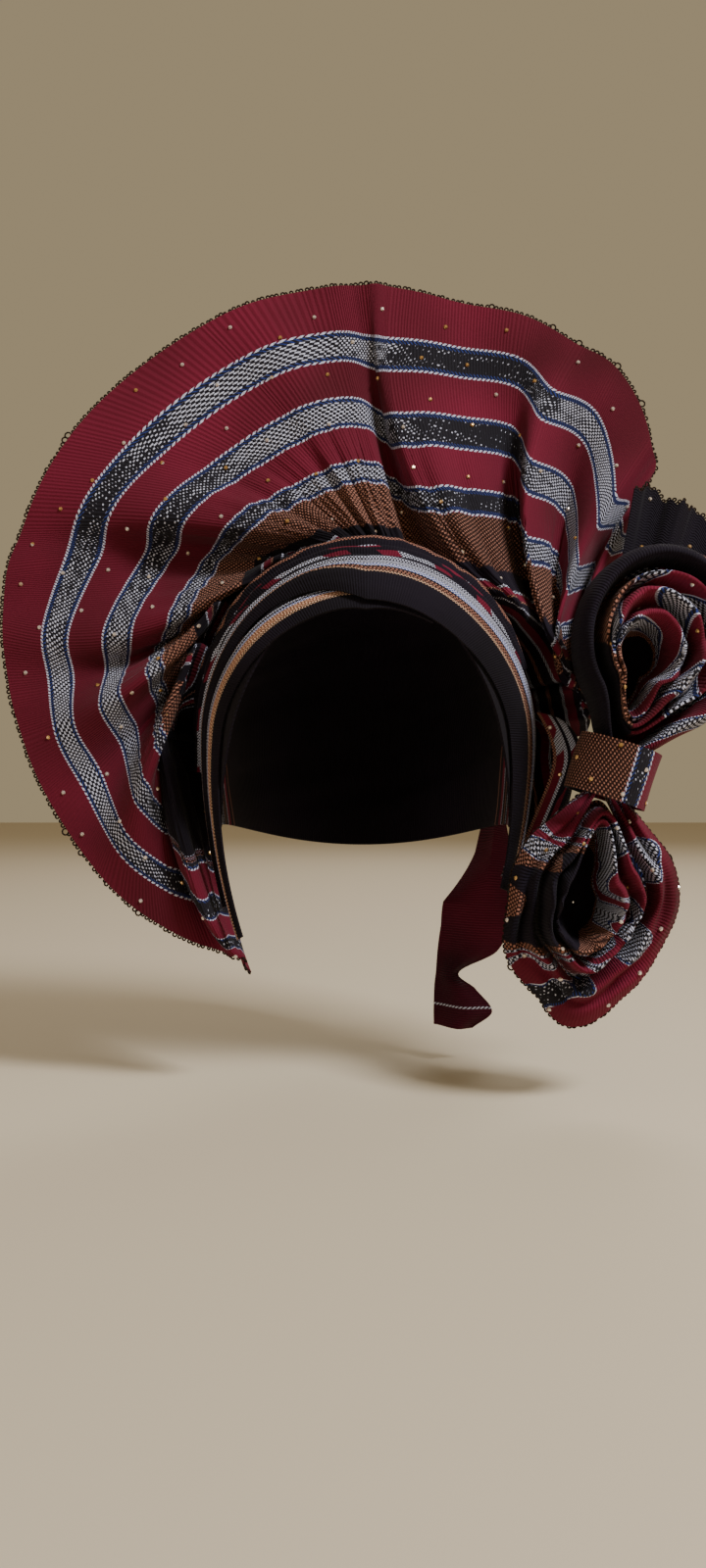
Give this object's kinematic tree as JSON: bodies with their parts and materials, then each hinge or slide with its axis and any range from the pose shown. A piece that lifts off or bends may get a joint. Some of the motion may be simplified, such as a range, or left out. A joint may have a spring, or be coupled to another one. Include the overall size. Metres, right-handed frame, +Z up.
{
  "type": "tied gele head tie",
  "caption": "tied head tie of striped hand-woven cloth: a pleated fan behind the head, crossed pleats round the face and a two-part bow at the wearer's left",
  "frame": {"origin": "the head_seat mount: the middle of the wearer's head at the level of the cloth's edge on the brow", "axes": "+Z is up through the crown, -Y is the way the face looks, +X is the wearer's left, where the bow is tied"},
  "size_m": [0.3627, 0.1929, 0.3917],
  "materials": {
    "red_cloth": "dark red hand-woven cotton, matt",
    "tan_cloth": "copper and brown twill band of the cloth, slightly shiny thread",
    "navy_cloth": "near-black navy plain weave, matt",
    "stripe_cloth": "pale blue-grey stripe weave on navy"
  },
  "bodies": {
    "root": {"head_wrap": "navy_cloth", "fan": "red_cloth", "left_pleat": "stripe_cloth", "right_pleat": "stripe_cloth", "crown_wrap": "navy_cloth", "side_folds": "navy_cloth", "upper_loop_outer": "navy_cloth", "upper_loop_inner": "tan_cloth", "lower_loop_outer": "red_cloth", "lower_loop_inner": "tan_cloth", "knot_band": "tan_cloth", "bow_end": "navy_cloth", "neck_tail": "red_cloth"}
  },
  "joints": []
}
